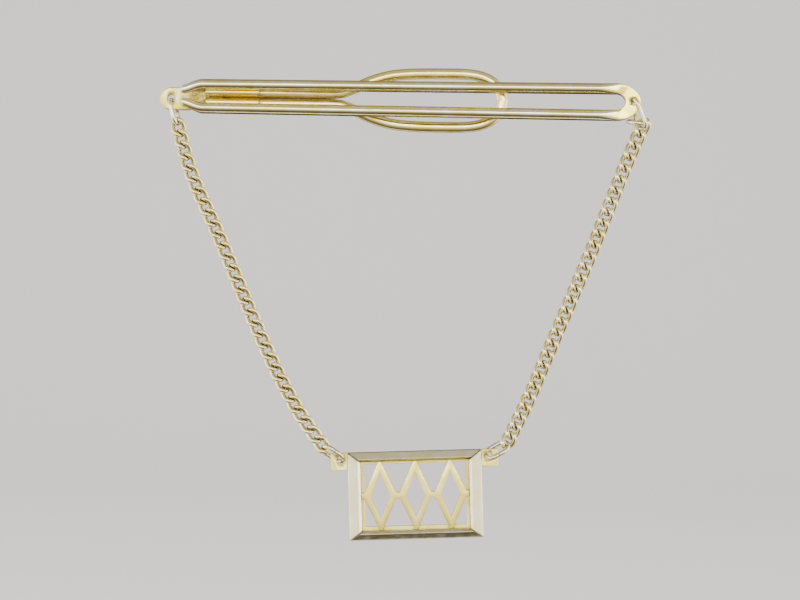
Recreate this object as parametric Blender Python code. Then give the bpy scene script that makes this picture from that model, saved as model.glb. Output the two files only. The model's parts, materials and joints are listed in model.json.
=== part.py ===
"""A gold tie bar with a long hanging chain and a small openwork pendant, as it hangs when worn.

Metres, +Z up. The bar lies along X, its front faces -Y, and the pendant hangs below it. The origin is
between the bar and its spring clip, in the middle of the bar's length, where the tie goes.
"""

import math

import bmesh
import bpy
import numpy as np
from mathutils import Matrix, Vector

MM = 0.001
CLEARANCE = 0.025 * MM  # between soldered or crimped neighbours, which are separate solids

# Front bar: two half-round rails that join in a flat, drilled end.
BAR_HALF_LENGTH = 28.47 * MM
BAR_BACK_Y = -0.6 * MM
RAIL_DEPTH = 1.1 * MM
RAIL_HEIGHT = 1.3 * MM
RAIL_SHOULDER = 0.3  # the share of the rail's depth where its sides turn into the round front
OUTER_HALF_LEFT = 2.04 * MM  # half of the bar's height over both rails, at the left shoulder
OUTER_HALF_RIGHT = 2.23 * MM
SHOULDER_X = -23.4 * MM  # where the rails start to taper towards their tips
TIP_X = -26.1 * MM
TIP_Z = 0.72 * MM
TIP_HEIGHT = 0.95 * MM
TIP_BACK_Y = -1.22 * MM  # the tips are thinned from behind and lie on the eye tab
END_LENGTH = 3.1 * MM  # the flat end's outline is half an ellipse this long
END_DEPTH = 0.6 * MM
END_SINK = 0.35 * MM  # how far each rail's round part moves inwards as it sinks into the flat end
END_SHRINK = 0.35  # and the share of its height that it loses
WINDOW_END_X = 26.64 * MM
WINDOW_END_LENGTH = 1.1 * MM
BAR_HOLE_X = 27.61 * MM
BAR_HOLE_Z = 0.1 * MM
HOLE_DIAMETER = 0.95 * MM
CUTTER_LENGTH = 3 * MM

# Eye tab: a strip with a drilled round eye, joggled back behind the rails and into the sleeve.
EYE_X = -27.13 * MM
EYE_Z = -0.37 * MM
EYE_RADIUS = 1.33 * MM
TAB_DEPTH = 0.6 * MM
TAB_INNER_Y = 0.05 * MM  # the strip's middle where it enters the sleeve
TAB_INNER_HALF = 1.2 * MM
TAB_INNER_X = -22.7 * MM
JOGGLE = (-25.2 * MM, -23.9 * MM)

# Spring clip: a folded sleeve crimped on the two legs of a bent wire loop.
FLEX_X = -23.5 * MM
SLEEVE_X = (-23.2 * MM, -16.8 * MM)
SLEEVE_HALF_Z = 1.62 * MM
SLEEVE_Y = (-0.55 * MM, 0.78 * MM)
SLEEVE_WALL = 0.17 * MM
SLEEVE_CORNER = 0.45 * MM
SEAM_GAP = 0.07 * MM
WIRE_WIDTH = 1.3 * MM
WIRE_DEPTH = 0.9 * MM
LEG_START_X = -21.2 * MM
LEG_Z = 0.69 * MM
LEG_Y = 0.12 * MM
LOOP_Y = 1.05 * MM
LOOP_Z_SHIFT = 0.12 * MM
LOOP_END_BACK = 0.3 * MM  # the loop's far end comes this much nearer to the bar
# The middle line of the wire's upper half, from the straight leg to the loop's far end: X, Z.
LOOP_ROUTE = [(-8.2, 0.69), (-6.9, 0.84), (-5.2, 1.45), (-3.2, 2.3), (-1.0, 2.9), (1.6, 3.14),
              (5.0, 3.2), (7.8, 3.16), (9.6, 2.88), (11.0, 2.2), (11.9, 1.2), (12.2, 0.0)]

# Chains: every second link joint moves. Both sides fold at the same heights, one set higher by a step.
HANG_Y = -0.9 * MM  # the vertical plane that both chains and the pendant hang in
SIDE_STEP = 0.75 * MM  # how much higher the right side's joints are
PAIRS = 15
CHAIN_WIRE = 0.52 * MM
LINK_HALF_WIDTH = 0.62 * MM  # to the wire's middle
LINK_TWIST = math.radians(45)
PAIR_GAP = 0.05 * MM  # slack between links of neighbouring pairs
PAIR_BITE = 0.05 * MM  # how far the two links of one pair are pressed together
LEFT_HOLE_JOINT = (-27.13, -0.6)
RIGHT_HOLE_JOINT = (27.61, 0.15)
# The chains' middle lines from the first chain link to the pendant rings: X, Z.
LEFT_ROUTE = [(-26.45, -3.05), (-24.65, -9.2), (-22.0, -14.9), (-19.5, -20.6), (-17.0, -26.4),
              (-14.35, -32.1), (-11.4, -37.4), (-8.35, -41.55)]
RIGHT_ROUTE = [(29.02, -2.3), (27.2, -6.5), (25.2, -11.7), (23.0, -17.5), (20.6, -23.4),
               (18.2, -29.2), (15.85, -35.0), (13.1, -40.8)]
LINK_ARC_STEPS = 5
WIRE_SIDES = 6

# Rings and plain links.
RING_WIRE = 0.48 * MM
RING_SIDES = 8
RING_ARC_STEPS = 7
LEFT_RING_HALF_WIDTH = 0.8 * MM
LEFT_RING_TURN = math.radians(75)  # about its length, from facing forward
LEFT_RING_REACH_UP = -0.14 * MM  # how far its inside reaches past its upper joint
RIGHT_LINK_BOTTOM = (28.8, -2.885)
RIGHT_LINK_HALF_WIDTH = 0.83 * MM
RIGHT_LINK_TURN = math.radians(113)
RIGHT_LINK_REACH_UP = -0.1 * MM
PENDANT_RING_HALF_WIDTH = 0.95 * MM
PENDANT_RING_TURN = math.radians(-58)
JUMP_RING_RADIUS = 1.06 * MM
JUMP_RING_CENTRE = (28.2, -0.283, -2.31)
JUMP_RING_SLOPE = math.radians(6.4)
JUMP_RING_TILT = math.radians(9.6)

# Pendant: four mitred bezel strips, two drilled lugs, a back frame and a pierced ornament.
PENDANT_X = 2.47 * MM
PENDANT_Z = -46.85 * MM
PENDANT_WIDTH = 15.8 * MM
PENDANT_HEIGHT = 10.4 * MM
BEZEL_WIDTH_TOP = 1.12 * MM  # of the top and bottom strips
BEZEL_WIDTH_SIDE = 1.5 * MM
BEZEL_RIDGE = 0.7  # the share of a strip's width from its outer side to its ridge
BEZEL_FRONT = -1.05 * MM  # depths from the hanging plane
BEZEL_OUTER_EDGE = -0.45 * MM
BEZEL_INNER_EDGE = -0.7 * MM
BEZEL_BACK = 0.3 * MM
LUG_WIDTH = 1.95 * MM
LUG_HEIGHT = 2.07 * MM
LUG_DEPTH = 0.48 * MM
LUG_CHAMFER = 0.12 * MM
LUG_HOLE_DIAMETER = 1.02 * MM
LUG_HOLE_X = 8.72 * MM
LUG_HOLE_Z = 4.3 * MM
LUG_PLAY = 0.15 * MM  # how far above the lug hole's middle its ring bears
PENDANT_TURN = math.asin(SIDE_STEP / (2 * LUG_HOLE_X))  # its right side hangs higher by the side step
LEDGE = 0.38 * MM  # how far the back frame shows inside the bezel
BACK_INSET = 0.08 * MM  # the back frame's edge lies this far inside the bezel's
BACK_FRAME_DEPTH = 0.42 * MM
ORNAMENT_DEPTH = 0.66 * MM
STROKE = 0.74 * MM
LOZENGE_PITCH = 4.16 * MM
LOZENGE_HALF_WIDTH = 2.0 * MM
LOZENGE_HALF_HEIGHT = 4.5 * MM

GOLD_COLOUR = (0.83, 0.68, 0.36)
PALE_GOLD_COLOUR = (0.86, 0.76, 0.48)
WARM_GOLD_COLOUR = (0.80, 0.56, 0.22)
SILVERY_GOLD_COLOUR = (0.84, 0.80, 0.70)


def clear_scene():
    for obj in list(bpy.data.objects):
        bpy.data.objects.remove(obj, do_unlink=True)


def metal(name, colour, roughness):
    material = bpy.data.materials.new(name)
    material.use_nodes = True
    shader = material.node_tree.nodes["Principled BSDF"]
    shader.inputs["Base Color"].default_value = (*colour, 1.0)
    shader.inputs["Metallic"].default_value = 1.0
    shader.inputs["Roughness"].default_value = roughness
    material.diffuse_color = (*colour, 1.0)
    return material


def add_object(name, bm, material, smooth_below=math.radians(40)):
    """Makes an object of the bmesh, with its faces pointing out and its round stretches shaded smooth."""
    bmesh.ops.recalc_face_normals(bm, faces=bm.faces)
    mesh = bpy.data.meshes.new(name)
    bm.to_mesh(mesh)
    bm.free()
    mesh.materials.append(material)
    mesh.shade_smooth()
    mesh.set_sharp_from_angle(angle=smooth_below)
    obj = bpy.data.objects.new(name, mesh)
    bpy.context.scene.collection.objects.link(obj)
    return obj


def hide_helper(obj):
    obj.hide_render = True
    obj.display_type = "WIRE"
    return obj


def boolean(obj, other, operation):
    modifier = obj.modifiers.new(f"{operation.lower()} {other.name}", "BOOLEAN")
    modifier.operation = operation
    modifier.solver = "EXACT"
    modifier.object = hide_helper(other)


def loft(bm, sections, closed=False):
    """Joins sections of equally many points, each in order round the body, with quads and end caps."""
    rings = [[bm.verts.new(point) for point in section] for section in sections]
    count = len(rings[0])
    pairs = list(zip(rings, rings[1:] + rings[:1])) if closed else list(zip(rings, rings[1:]))
    for first, second in pairs:
        for i in range(count):
            j = (i + 1) % count
            bm.faces.new((first[i], first[j], second[j], second[i]))
    if not closed:
        bm.faces.new(rings[0])
        bm.faces.new(rings[-1])
    return bm


def prism(outline, start, end, place):
    """Extrudes a closed outline of (a, b) points from start to end; place(a, b, c) gives the point."""
    return loft(bmesh.new(), [[place(a, b, c) for a, b in outline] for c in (start, end)])


def cylinder_along_y(name, centre, radius, length, material, segments=24):
    bm = bmesh.new()
    turn = Matrix.Rotation(math.pi / 2, 4, "X")
    bmesh.ops.create_cone(bm, cap_ends=True, segments=segments, radius1=radius, radius2=radius,
                          depth=length, matrix=Matrix.Translation(centre) @ turn)
    return add_object(name, bm, material)


def smooth_curve(points, per_span=12):
    """A Catmull-Rom curve through the points."""
    points = np.array(points, float)
    ends = np.vstack([2 * points[0] - points[1], points, 2 * points[-1] - points[-2]])
    out = []
    for p0, p1, p2, p3 in zip(ends, ends[1:], ends[2:], ends[3:]):
        for t in np.arange(per_span) / per_span:
            out.append(0.5 * (2 * p1 + (p2 - p0) * t + (2 * p0 - 5 * p1 + 4 * p2 - p3) * t**2
                              + (3 * p1 - p0 - 3 * p2 + p3) * t**3))
    return np.array(out + [points[-1]])


def smooth_step(value, low, high):
    t = min(max((value - low) / (high - low), 0.0), 1.0)
    return t * t * (3 - 2 * t)


def ellipse_section(centre, across, forward, half_width, half_depth, sides):
    angles = [2 * math.pi * (i + 0.5) / sides for i in range(sides)]
    return [centre + across * (half_width * math.cos(a)) + forward * (half_depth * math.sin(a))
            for a in angles]


def wire_along(path, normals, half_width, half_depth, sides, closed):
    """A wire along the path; normals point out of the plane that the wire is bent in."""
    count = len(path)
    sections = []
    for i, (point, normal) in enumerate(zip(path, normals)):
        after = path[(i + 1) % count] if closed or i < count - 1 else path[i]
        before = path[i - 1] if closed or i > 0 else path[i]
        tangent = (after - before).normalized()
        across = tangent.cross(normal).normalized()
        forward = across.cross(tangent)
        sections.append(ellipse_section(point, across, forward, half_width, half_depth, sides))
    return loft(bmesh.new(), sections, closed)


def oval(half_length, half_width, arc_steps):
    """A race-track outline as (along, across) pairs: two half circles and the straights between."""
    straight = half_length - half_width
    points = []
    for end in (1, -1):
        for i in range(arc_steps + 1):
            angle = math.pi * (i / arc_steps - 0.5)
            along = straight + half_width * math.cos(angle)
            points.append((end * along, end * half_width * math.sin(angle)))
    return points


# Front bar ------------------------------------------------------------------------------------------


def outer_half(x):
    share = (x - SHOULDER_X) / (BAR_HALF_LENGTH - SHOULDER_X)
    return OUTER_HALF_LEFT + share * (OUTER_HALF_RIGHT - OUTER_HALF_LEFT)


def rail_section(x, side):
    """The rail's D-shaped section at x: its flat back, two short sides and a round front."""
    taper = smooth_step(x, TIP_X, SHOULDER_X)
    middle = TIP_Z + taper * (outer_half(x) - RAIL_HEIGHT / 2 - TIP_Z)
    height = TIP_HEIGHT + taper * (RAIL_HEIGHT - TIP_HEIGHT)
    back = BAR_BACK_Y + (TIP_BACK_Y - BAR_BACK_Y) * (1 - smooth_step(x, JOGGLE[0], SHOULDER_X))
    front = BAR_BACK_Y - RAIL_DEPTH
    nose = min((x - TIP_X) / (0.55 * TIP_HEIGHT), 1.0)  # the tip's end is a quarter round
    height *= math.sqrt(max(1 - (1 - nose) ** 2, 0.02))
    front = back + (front - back) * (0.35 + 0.65 * math.sqrt(max(1 - (1 - nose) ** 2, 0.0)))
    sink = smooth_step(x, BAR_HALF_LENGTH - END_LENGTH, WINDOW_END_X)
    front += sink * (RAIL_DEPTH - END_DEPTH) * 0.92  # it stays just proud of the flat end
    middle -= sink * END_SINK
    height *= 1 - END_SHRINK * sink
    shoulder = back + RAIL_SHOULDER * (front - back)
    points = [(height / 2, back), (height / 2, shoulder)]
    for i in range(1, 8):
        angle = math.pi * i / 8
        points.append((height / 2 * math.cos(angle), shoulder + (front - shoulder) * math.sin(angle)))
    points += [(-height / 2, shoulder), (-height / 2, back)]
    return [Vector((x, y, side * (middle + z))) for z, y in points]


def build_rail(name, side, material):
    tip = [TIP_X + step * MM for step in (0.0, 0.06, 0.18, 0.36, 0.6, 0.95, 1.35, 1.8, 2.25, 2.7)]
    body = list(np.linspace(SHOULDER_X + 2 * MM, BAR_HALF_LENGTH - END_LENGTH, 10))
    end = [BAR_HALF_LENGTH - END_LENGTH + step * MM for step in (0.35, 0.7, 1.0)]
    sections = [rail_section(x, side) for x in tip + body + end]
    return add_object(name, loft(bmesh.new(), sections), material)


def build_flat_end(material):
    """The flat right end: half an ellipse outside, the window's round end inside."""
    start = BAR_HALF_LENGTH - END_LENGTH - 0.4 * MM
    centre = BAR_HALF_LENGTH - END_LENGTH
    outer = [(start, outer_half(start))]
    for i in range(17):
        angle = math.pi * (0.5 - i / 16)
        outer.append((centre + END_LENGTH * math.cos(angle), OUTER_HALF_RIGHT * math.sin(angle)))
    outer.append((start, -outer_half(start)))
    window_half = OUTER_HALF_RIGHT - RAIL_HEIGHT
    inner = [(start, -window_half)]
    for i in range(9):
        angle = math.pi * (i / 8 - 0.5)
        x = WINDOW_END_X - WINDOW_END_LENGTH * (1 - math.cos(angle))
        inner.append((x, window_half * math.sin(angle)))
    inner.append((start, window_half))
    back = BAR_BACK_Y - 0.02 * MM
    bm = prism(outer + inner, back, BAR_BACK_Y - END_DEPTH, lambda x, z, y: (x, y, z))
    return add_object("flat_end_shape", bm, material)


def build_front_bar(material):
    bar = build_rail("front_bar", 1, material)
    boolean(bar, build_rail("lower_rail_shape", -1, material), "UNION")
    boolean(bar, build_flat_end(material), "UNION")
    centre = (BAR_HOLE_X, HANG_Y, BAR_HOLE_Z)
    hole = cylinder_along_y("bar_hole_cutter", centre, HOLE_DIAMETER / 2, CUTTER_LENGTH, material)
    boolean(bar, hole, "DIFFERENCE")
    return bar


def build_eye_tab(material):
    outer_y = HANG_Y
    round_steps = [EYE_X - EYE_RADIUS * math.cos(math.pi / 2 * i / 8) for i in range(9)]
    straight = list(np.linspace(EYE_X + 0.6 * MM, JOGGLE[0], 3)) + list(np.linspace(*JOGGLE, 6))[1:]
    sections = []
    for x in round_steps + straight + [TAB_INNER_X - 0.2 * MM, TAB_INNER_X]:
        half = EYE_RADIUS
        if x < EYE_X:
            half = max(math.sqrt(max(EYE_RADIUS**2 - (x - EYE_X) ** 2, 0.0)), 0.12 * MM)
        inward = smooth_step(x, *JOGGLE)
        half += inward * (TAB_INNER_HALF - EYE_RADIUS)
        middle_y = outer_y + inward * (TAB_INNER_Y - outer_y)
        middle_z = EYE_Z * (1 - inward)
        sections.append([Vector((x, middle_y + b * TAB_DEPTH / 2, middle_z + a * half))
                         for a, b in ((1, -1), (1, 1), (-1, 1), (-1, -1))])
    tab = add_object("eye_tab", loft(bmesh.new(), sections), material, math.radians(25))
    centre = (EYE_X, HANG_Y, EYE_Z)
    hole = cylinder_along_y("eye_hole_cutter", centre, HOLE_DIAMETER / 2, CUTTER_LENGTH, material)
    boolean(tab, hole, "DIFFERENCE")
    return tab


# Spring clip ----------------------------------------------------------------------------------------


def sleeve_outline():
    """The sleeve's section, as (y, z) points: a thin wall folded round to a seam at the front."""
    middle_y, half_y = sum(SLEEVE_Y) / 2, (SLEEVE_Y[1] - SLEEVE_Y[0]) / 2
    corners = ((-1, 1, math.pi), (1, 1, math.pi / 2), (1, -1, 0.0), (-1, -1, -math.pi / 2))

    def round_trip(inset):
        radius = max(SLEEVE_CORNER - inset, 0.1 * MM)
        out = [(middle_y - half_y + inset, SEAM_GAP / 2)]
        for side_y, side_z, start in corners:
            centre_y = middle_y + side_y * (half_y - inset - radius)
            centre_z = side_z * (SLEEVE_HALF_Z - inset - radius)
            for i in range(5):
                angle = start - math.pi / 2 * i / 4
                out.append((centre_y + radius * math.cos(angle), centre_z + radius * math.sin(angle)))
        return out + [(middle_y - half_y + inset, -SEAM_GAP / 2)]

    return round_trip(0.0) + round_trip(SLEEVE_WALL)[::-1]


def build_crimp_sleeve(material):
    bm = prism(sleeve_outline(), 0.0, SLEEVE_X[1] - SLEEVE_X[0],
               lambda y, z, x: (SLEEVE_X[0] + x - FLEX_X, y, z))
    sleeve = add_object("crimp_sleeve", bm, material)
    sleeve.location.x = FLEX_X
    return sleeve


def build_clip_wire(material):
    """One bent wire: a leg out of the sleeve, round the loop and back in, with its ends side by side."""
    upper = [Vector((x * MM, 0, z * MM)) for x, z in smooth_curve(LOOP_ROUTE, 2)]
    legs = [Vector((x, 0, LEG_Z)) for x in np.linspace(LEG_START_X, LOOP_ROUTE[0][0] * MM, 6)[:-1]]
    half = legs + upper
    other_half = [Vector((p.x, 0, -p.z)) for p in half[-2::-1]]
    path = []
    for point in half + other_half:
        out = smooth_step(point.x, SLEEVE_X[1] + 0.5 * MM, -3 * MM)
        back = smooth_step(point.x, 3 * MM, 12 * MM)
        point.y = LEG_Y + out * (LOOP_Y - LEG_Y) - back * LOOP_END_BACK
        point.z += out * LOOP_Z_SHIFT
        path.append(point - Vector((FLEX_X, 0, 0)))
    forward = [Vector((0, -1, 0))] * len(path)
    bm = wire_along(path, forward, WIRE_WIDTH / 2, WIRE_DEPTH / 2, 8, closed=False)
    wire = add_object("clip_wire", bm, material)
    wire.location.x = FLEX_X
    return wire


# Chains and rings -----------------------------------------------------------------------------------


def link_path(half_length, half_width, arc_steps, twist, drop):
    """A link's middle line, hanging in the XZ plane with its middle `drop` below the origin.

    The twist turns its lower end one way about its length and its upper end the other way.
    """
    path, normals = [], []
    for along, across in oval(half_length, half_width, arc_steps):
        turn = Matrix.Rotation(twist * along / half_length, 3, "Z")
        path.append(turn @ Vector((across, 0, 0)) + Vector((0, 0, -drop - along)))
        normals.append(turn @ Vector((0, -1, 0)))
    return path, normals


def chain_link_mesh(half_length, drop):
    path, normals = link_path(half_length, LINK_HALF_WIDTH, LINK_ARC_STEPS, LINK_TWIST, drop)
    return wire_along(path, normals, CHAIN_WIRE / 2, CHAIN_WIRE / 2, WIRE_SIDES, closed=True)


def hang(obj, top, bottom):
    """Puts an object that was made hanging from the origin between two joints."""
    obj.location = (top[0], HANG_Y, top[1])
    obj.rotation_euler.y = math.atan2(top[0] - bottom[0], top[1] - bottom[1])
    return obj


def build_chain_pair(name, top, bottom, material):
    """Two curb links from one moving joint to the next. They touch, so they are one solid here."""
    pitch = math.dist(top, bottom) / 2
    outer = (pitch + CHAIN_WIRE + PAIR_GAP) / 2
    inner = (pitch + CHAIN_WIRE - PAIR_BITE) / 2
    half_length = (outer + inner) / 2
    shift = (outer - inner) / 2
    pair = add_object(name, chain_link_mesh(half_length, pitch / 2 - shift), material)
    lower = add_object(name + "_lower_shape", chain_link_mesh(half_length, 1.5 * pitch + shift), material)
    boolean(pair, lower, "UNION")
    lower.parent = pair
    return hang(pair, top, bottom)


def build_ring(name, top, bottom, half_width, turn, material, reach_up=0.0):
    """An oval ring whose inside reaches from one joint to the next, turned about its length."""
    length = math.dist(top, bottom)
    half_length = (length + reach_up + RING_WIRE) / 2
    path, normals = link_path(half_length, half_width, RING_ARC_STEPS, 0.0, (length - reach_up) / 2)
    spin = Matrix.Rotation(turn, 3, "Z")
    path, normals = [spin @ p for p in path], [spin @ n for n in normals]
    bm = wire_along(path, normals, RING_WIRE / 2, RING_WIRE / 2, RING_SIDES, closed=True)
    return hang(add_object(name, bm, material), top, bottom)


def build_jump_ring(material):
    """A round ring that lies almost level in the oval link's lower end."""
    steps = 2 * RING_ARC_STEPS + 2
    turn = Matrix.Rotation(JUMP_RING_SLOPE, 3, "Y") @ Matrix.Rotation(JUMP_RING_TILT, 3, "X")
    angles = [2 * math.pi * i / steps for i in range(steps)]
    path = [turn @ (JUMP_RING_RADIUS * Vector((math.cos(a), math.sin(a), 0))) for a in angles]
    normals = [turn @ Vector((0, 0, 1))] * steps
    bm = wire_along(path, normals, RING_WIRE / 2, RING_WIRE / 2, RING_SIDES, closed=True)
    ring = add_object("jump_ring_right", bm, material)
    ring.location = Vector(JUMP_RING_CENTRE) * MM
    return ring


def chain_joints():
    """The joints' places down each side, from the first chain link to the pendant ring: (x, z)."""
    left = smooth_curve(LEFT_ROUTE) * MM
    walked = np.concatenate([[0], np.cumsum(np.hypot(*np.diff(left, axis=0).T))])
    stops = np.linspace(0, walked[-1], PAIRS + 1)
    left_x, left_z = (np.interp(stops, walked, left[:, i]) for i in (0, 1))
    right = smooth_curve(RIGHT_ROUTE) * MM
    right_z = left_z + SIDE_STEP
    right_x = np.interp(-right_z, -right[:, 1], right[:, 0])
    return list(zip(left_x, left_z)), list(zip(right_x, right_z))


def lug_joint(side):
    """Where a pendant ring bears in its lug's hole, as (x, z)."""
    turn = Matrix.Rotation(-PENDANT_TURN, 3, "Y")
    hole = turn @ Vector((side * LUG_HOLE_X, 0, LUG_HOLE_Z)) + Vector((PENDANT_X, 0, PENDANT_Z))
    return hole.x, hole.z + LUG_PLAY


def build_chains(ring_material, chain_material):
    left, right = chain_joints()
    left_hole = tuple(v * MM for v in LEFT_HOLE_JOINT)
    right_hole = tuple(v * MM for v in RIGHT_HOLE_JOINT)
    build_ring("ring_left_bar", left_hole, left[0], LEFT_RING_HALF_WIDTH, LEFT_RING_TURN,
               ring_material, reach_up=LEFT_RING_REACH_UP)
    link_bottom = tuple(v * MM for v in RIGHT_LINK_BOTTOM)
    build_ring("link_right_bar", right_hole, link_bottom, RIGHT_LINK_HALF_WIDTH, RIGHT_LINK_TURN,
               ring_material, reach_up=RIGHT_LINK_REACH_UP)
    build_jump_ring(ring_material)
    for i in range(PAIRS):
        build_chain_pair(f"chain_left_{i + 1:02}", left[i], left[i + 1], chain_material)
        build_chain_pair(f"chain_right_{i + 1:02}", right[i], right[i + 1], chain_material)
    build_ring("ring_left_pendant", left[-1], lug_joint(-1), PENDANT_RING_HALF_WIDTH, PENDANT_RING_TURN,
               ring_material)
    build_ring("ring_right_pendant", right[-1], lug_joint(1), PENDANT_RING_HALF_WIDTH, PENDANT_RING_TURN,
               ring_material)


# Pendant --------------------------------------------------------------------------------------------


def bezel_strip(name, length, width, next_width, material):
    """A strip along X with its outer side up, mitred at both ends to strips of the next width."""
    profile = [(0, BEZEL_BACK), (0, BEZEL_OUTER_EDGE), (BEZEL_RIDGE, BEZEL_FRONT),
               (1, BEZEL_INNER_EDGE), (1, BEZEL_BACK)]
    sections = []
    for end in (-1, 1):
        sections.append([Vector((end * (length / 2 - share * next_width - CLEARANCE), depth, -share * width))
                         for share, depth in profile])
    return add_object(name, loft(bmesh.new(), sections), material, math.radians(20))


def build_lug(name, side, material):
    low_x = PENDANT_WIDTH / 2 + CLEARANCE
    high_z = PENDANT_HEIGHT / 2
    outline = [(low_x, high_z - LUG_HEIGHT),
               (low_x + LUG_WIDTH - LUG_CHAMFER, high_z - LUG_HEIGHT),
               (low_x + LUG_WIDTH, high_z - LUG_HEIGHT + LUG_CHAMFER),
               (low_x + LUG_WIDTH, high_z - LUG_CHAMFER),
               (low_x + LUG_WIDTH - LUG_CHAMFER, high_z), (low_x, high_z)]
    bm = prism(outline, -LUG_DEPTH / 2, LUG_DEPTH / 2, lambda x, z, y: (side * x, y, z))
    lug = add_object(name, bm, material)
    centre = (side * LUG_HOLE_X, 0, LUG_HOLE_Z)
    radius = LUG_HOLE_DIAMETER / 2
    cutter = cylinder_along_y(name + "_hole_cutter", centre, radius, CUTTER_LENGTH, material)
    boolean(lug, cutter, "DIFFERENCE")
    return [lug, cutter]


def flat_shape(name, outlines, y_near, y_far, material):
    """A flat plate with the first outline outside and the others cut through it, as (x, z) points."""
    data = bpy.data.curves.new(name, "CURVE")
    data.dimensions = "2D"
    data.fill_mode = "BOTH"
    data.extrude = abs(y_far - y_near) / 2
    for outline in outlines:
        spline = data.splines.new("POLY")
        spline.points.add(len(outline) - 1)
        for point, (x, z) in zip(spline.points, outline):
            point.co = (x, z, 0, 1)
        spline.use_cyclic_u = True
    data.materials.append(material)
    obj = bpy.data.objects.new(name, data)
    obj.rotation_euler.x = math.pi / 2
    obj.location.y = (y_near + y_far) / 2
    bpy.context.scene.collection.objects.link(obj)
    return obj


def rectangle(half_x, half_z):
    return [(-half_x, -half_z), (half_x, -half_z), (half_x, half_z), (-half_x, half_z)]


def ornament_outlines(half_x, half_z):
    """Three lozenges side by side, cut off at the top and bottom and joined by a bar at mid-height."""
    across, up, bar = LOZENGE_HALF_WIDTH, LOZENGE_HALF_HEIGHT, STROKE / 2
    at_bar, at_top = across * (1 - bar / up), across * (1 - half_z / up)
    centres = [step * LOZENGE_PITCH for step in (-1, 0, 1)]
    top = [(-half_x, bar)]
    for centre in centres:
        top += [(centre - at_bar, bar), (centre - at_top, half_z)]
        top += [(centre + at_top, half_z), (centre + at_bar, bar)]
    top.append((half_x, bar))
    outline = top + [(x, -z) for x, z in reversed(top)]
    inner_across = across - STROKE * math.hypot(across, up) / up
    inner_up = up * inner_across / across
    holes = [[(c - inner_across, 0), (c, -inner_up), (c + inner_across, 0), (c, inner_up)] for c in centres]
    return [outline] + holes


def build_pendant(bezel_material, plate_material):
    pieces = []
    for name, turn in (("bezel_top", 0), ("bezel_right", 90), ("bezel_bottom", 180), ("bezel_left", 270)):
        length, across = PENDANT_WIDTH, PENDANT_HEIGHT
        width, next_width = BEZEL_WIDTH_TOP, BEZEL_WIDTH_SIDE
        if turn % 180:
            length, across = across, length
            width, next_width = next_width, width
        strip = bezel_strip(name, length, width, next_width, bezel_material)
        spin = Matrix.Rotation(math.radians(turn), 4, "Y")
        strip.matrix_basis = spin @ Matrix.Translation((0, 0, across / 2))
        pieces.append(strip)
    for name, side in (("lug_left", -1), ("lug_right", 1)):
        pieces += build_lug(name, side, plate_material)
    opening_x = PENDANT_WIDTH / 2 - BEZEL_WIDTH_SIDE
    opening_z = PENDANT_HEIGHT / 2 - BEZEL_WIDTH_TOP
    near = BEZEL_BACK + CLEARANCE
    outlines = [rectangle(PENDANT_WIDTH / 2 - BACK_INSET, PENDANT_HEIGHT / 2 - BACK_INSET),
                rectangle(opening_x - LEDGE, opening_z - LEDGE)]
    pieces.append(flat_shape("back_frame", outlines, near, near + BACK_FRAME_DEPTH, plate_material))
    outlines = ornament_outlines(opening_x - CLEARANCE, opening_z - CLEARANCE)
    near = BEZEL_BACK - ORNAMENT_DEPTH
    pieces.append(flat_shape("openwork_insert", outlines, near, BEZEL_BACK, plate_material))

    holder = bpy.data.objects.new("pendant_place", None)
    bpy.context.scene.collection.objects.link(holder)
    joint_x, joint_z = lug_joint(-1)
    holder.location = (joint_x, HANG_Y, joint_z)
    centre = Matrix.Translation((PENDANT_X - joint_x, 0, PENDANT_Z - joint_z))
    turn = Matrix.Rotation(-PENDANT_TURN, 4, "Y")
    for piece in pieces:
        piece.parent = holder
        piece.matrix_parent_inverse = centre @ turn


def main():
    clear_scene()
    silvery = metal("silvery_gold", SILVERY_GOLD_COLOUR, 0.2)
    gold = metal("gold", GOLD_COLOUR, 0.24)
    pale = metal("pale_gold", PALE_GOLD_COLOUR, 0.3)
    warm = metal("warm_gold", WARM_GOLD_COLOUR, 0.22)
    build_front_bar(silvery)
    build_eye_tab(pale)
    build_crimp_sleeve(warm)
    build_clip_wire(gold)
    build_chains(silvery, silvery)
    build_pendant(silvery, pale)


main()
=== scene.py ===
"""The looks of a gold tie bar with a hanging chain and an openwork pendant.

Fine meshes in worn, polished gold stand for the CAD pieces, each but the eye tab riding on its
body. Lengths are metres unless a name or comment says otherwise. The front faces -Y and +Z is up.
"""
import json
import math

import bmesh
import bpy
import numpy as np
from mathutils import Matrix, Vector

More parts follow.
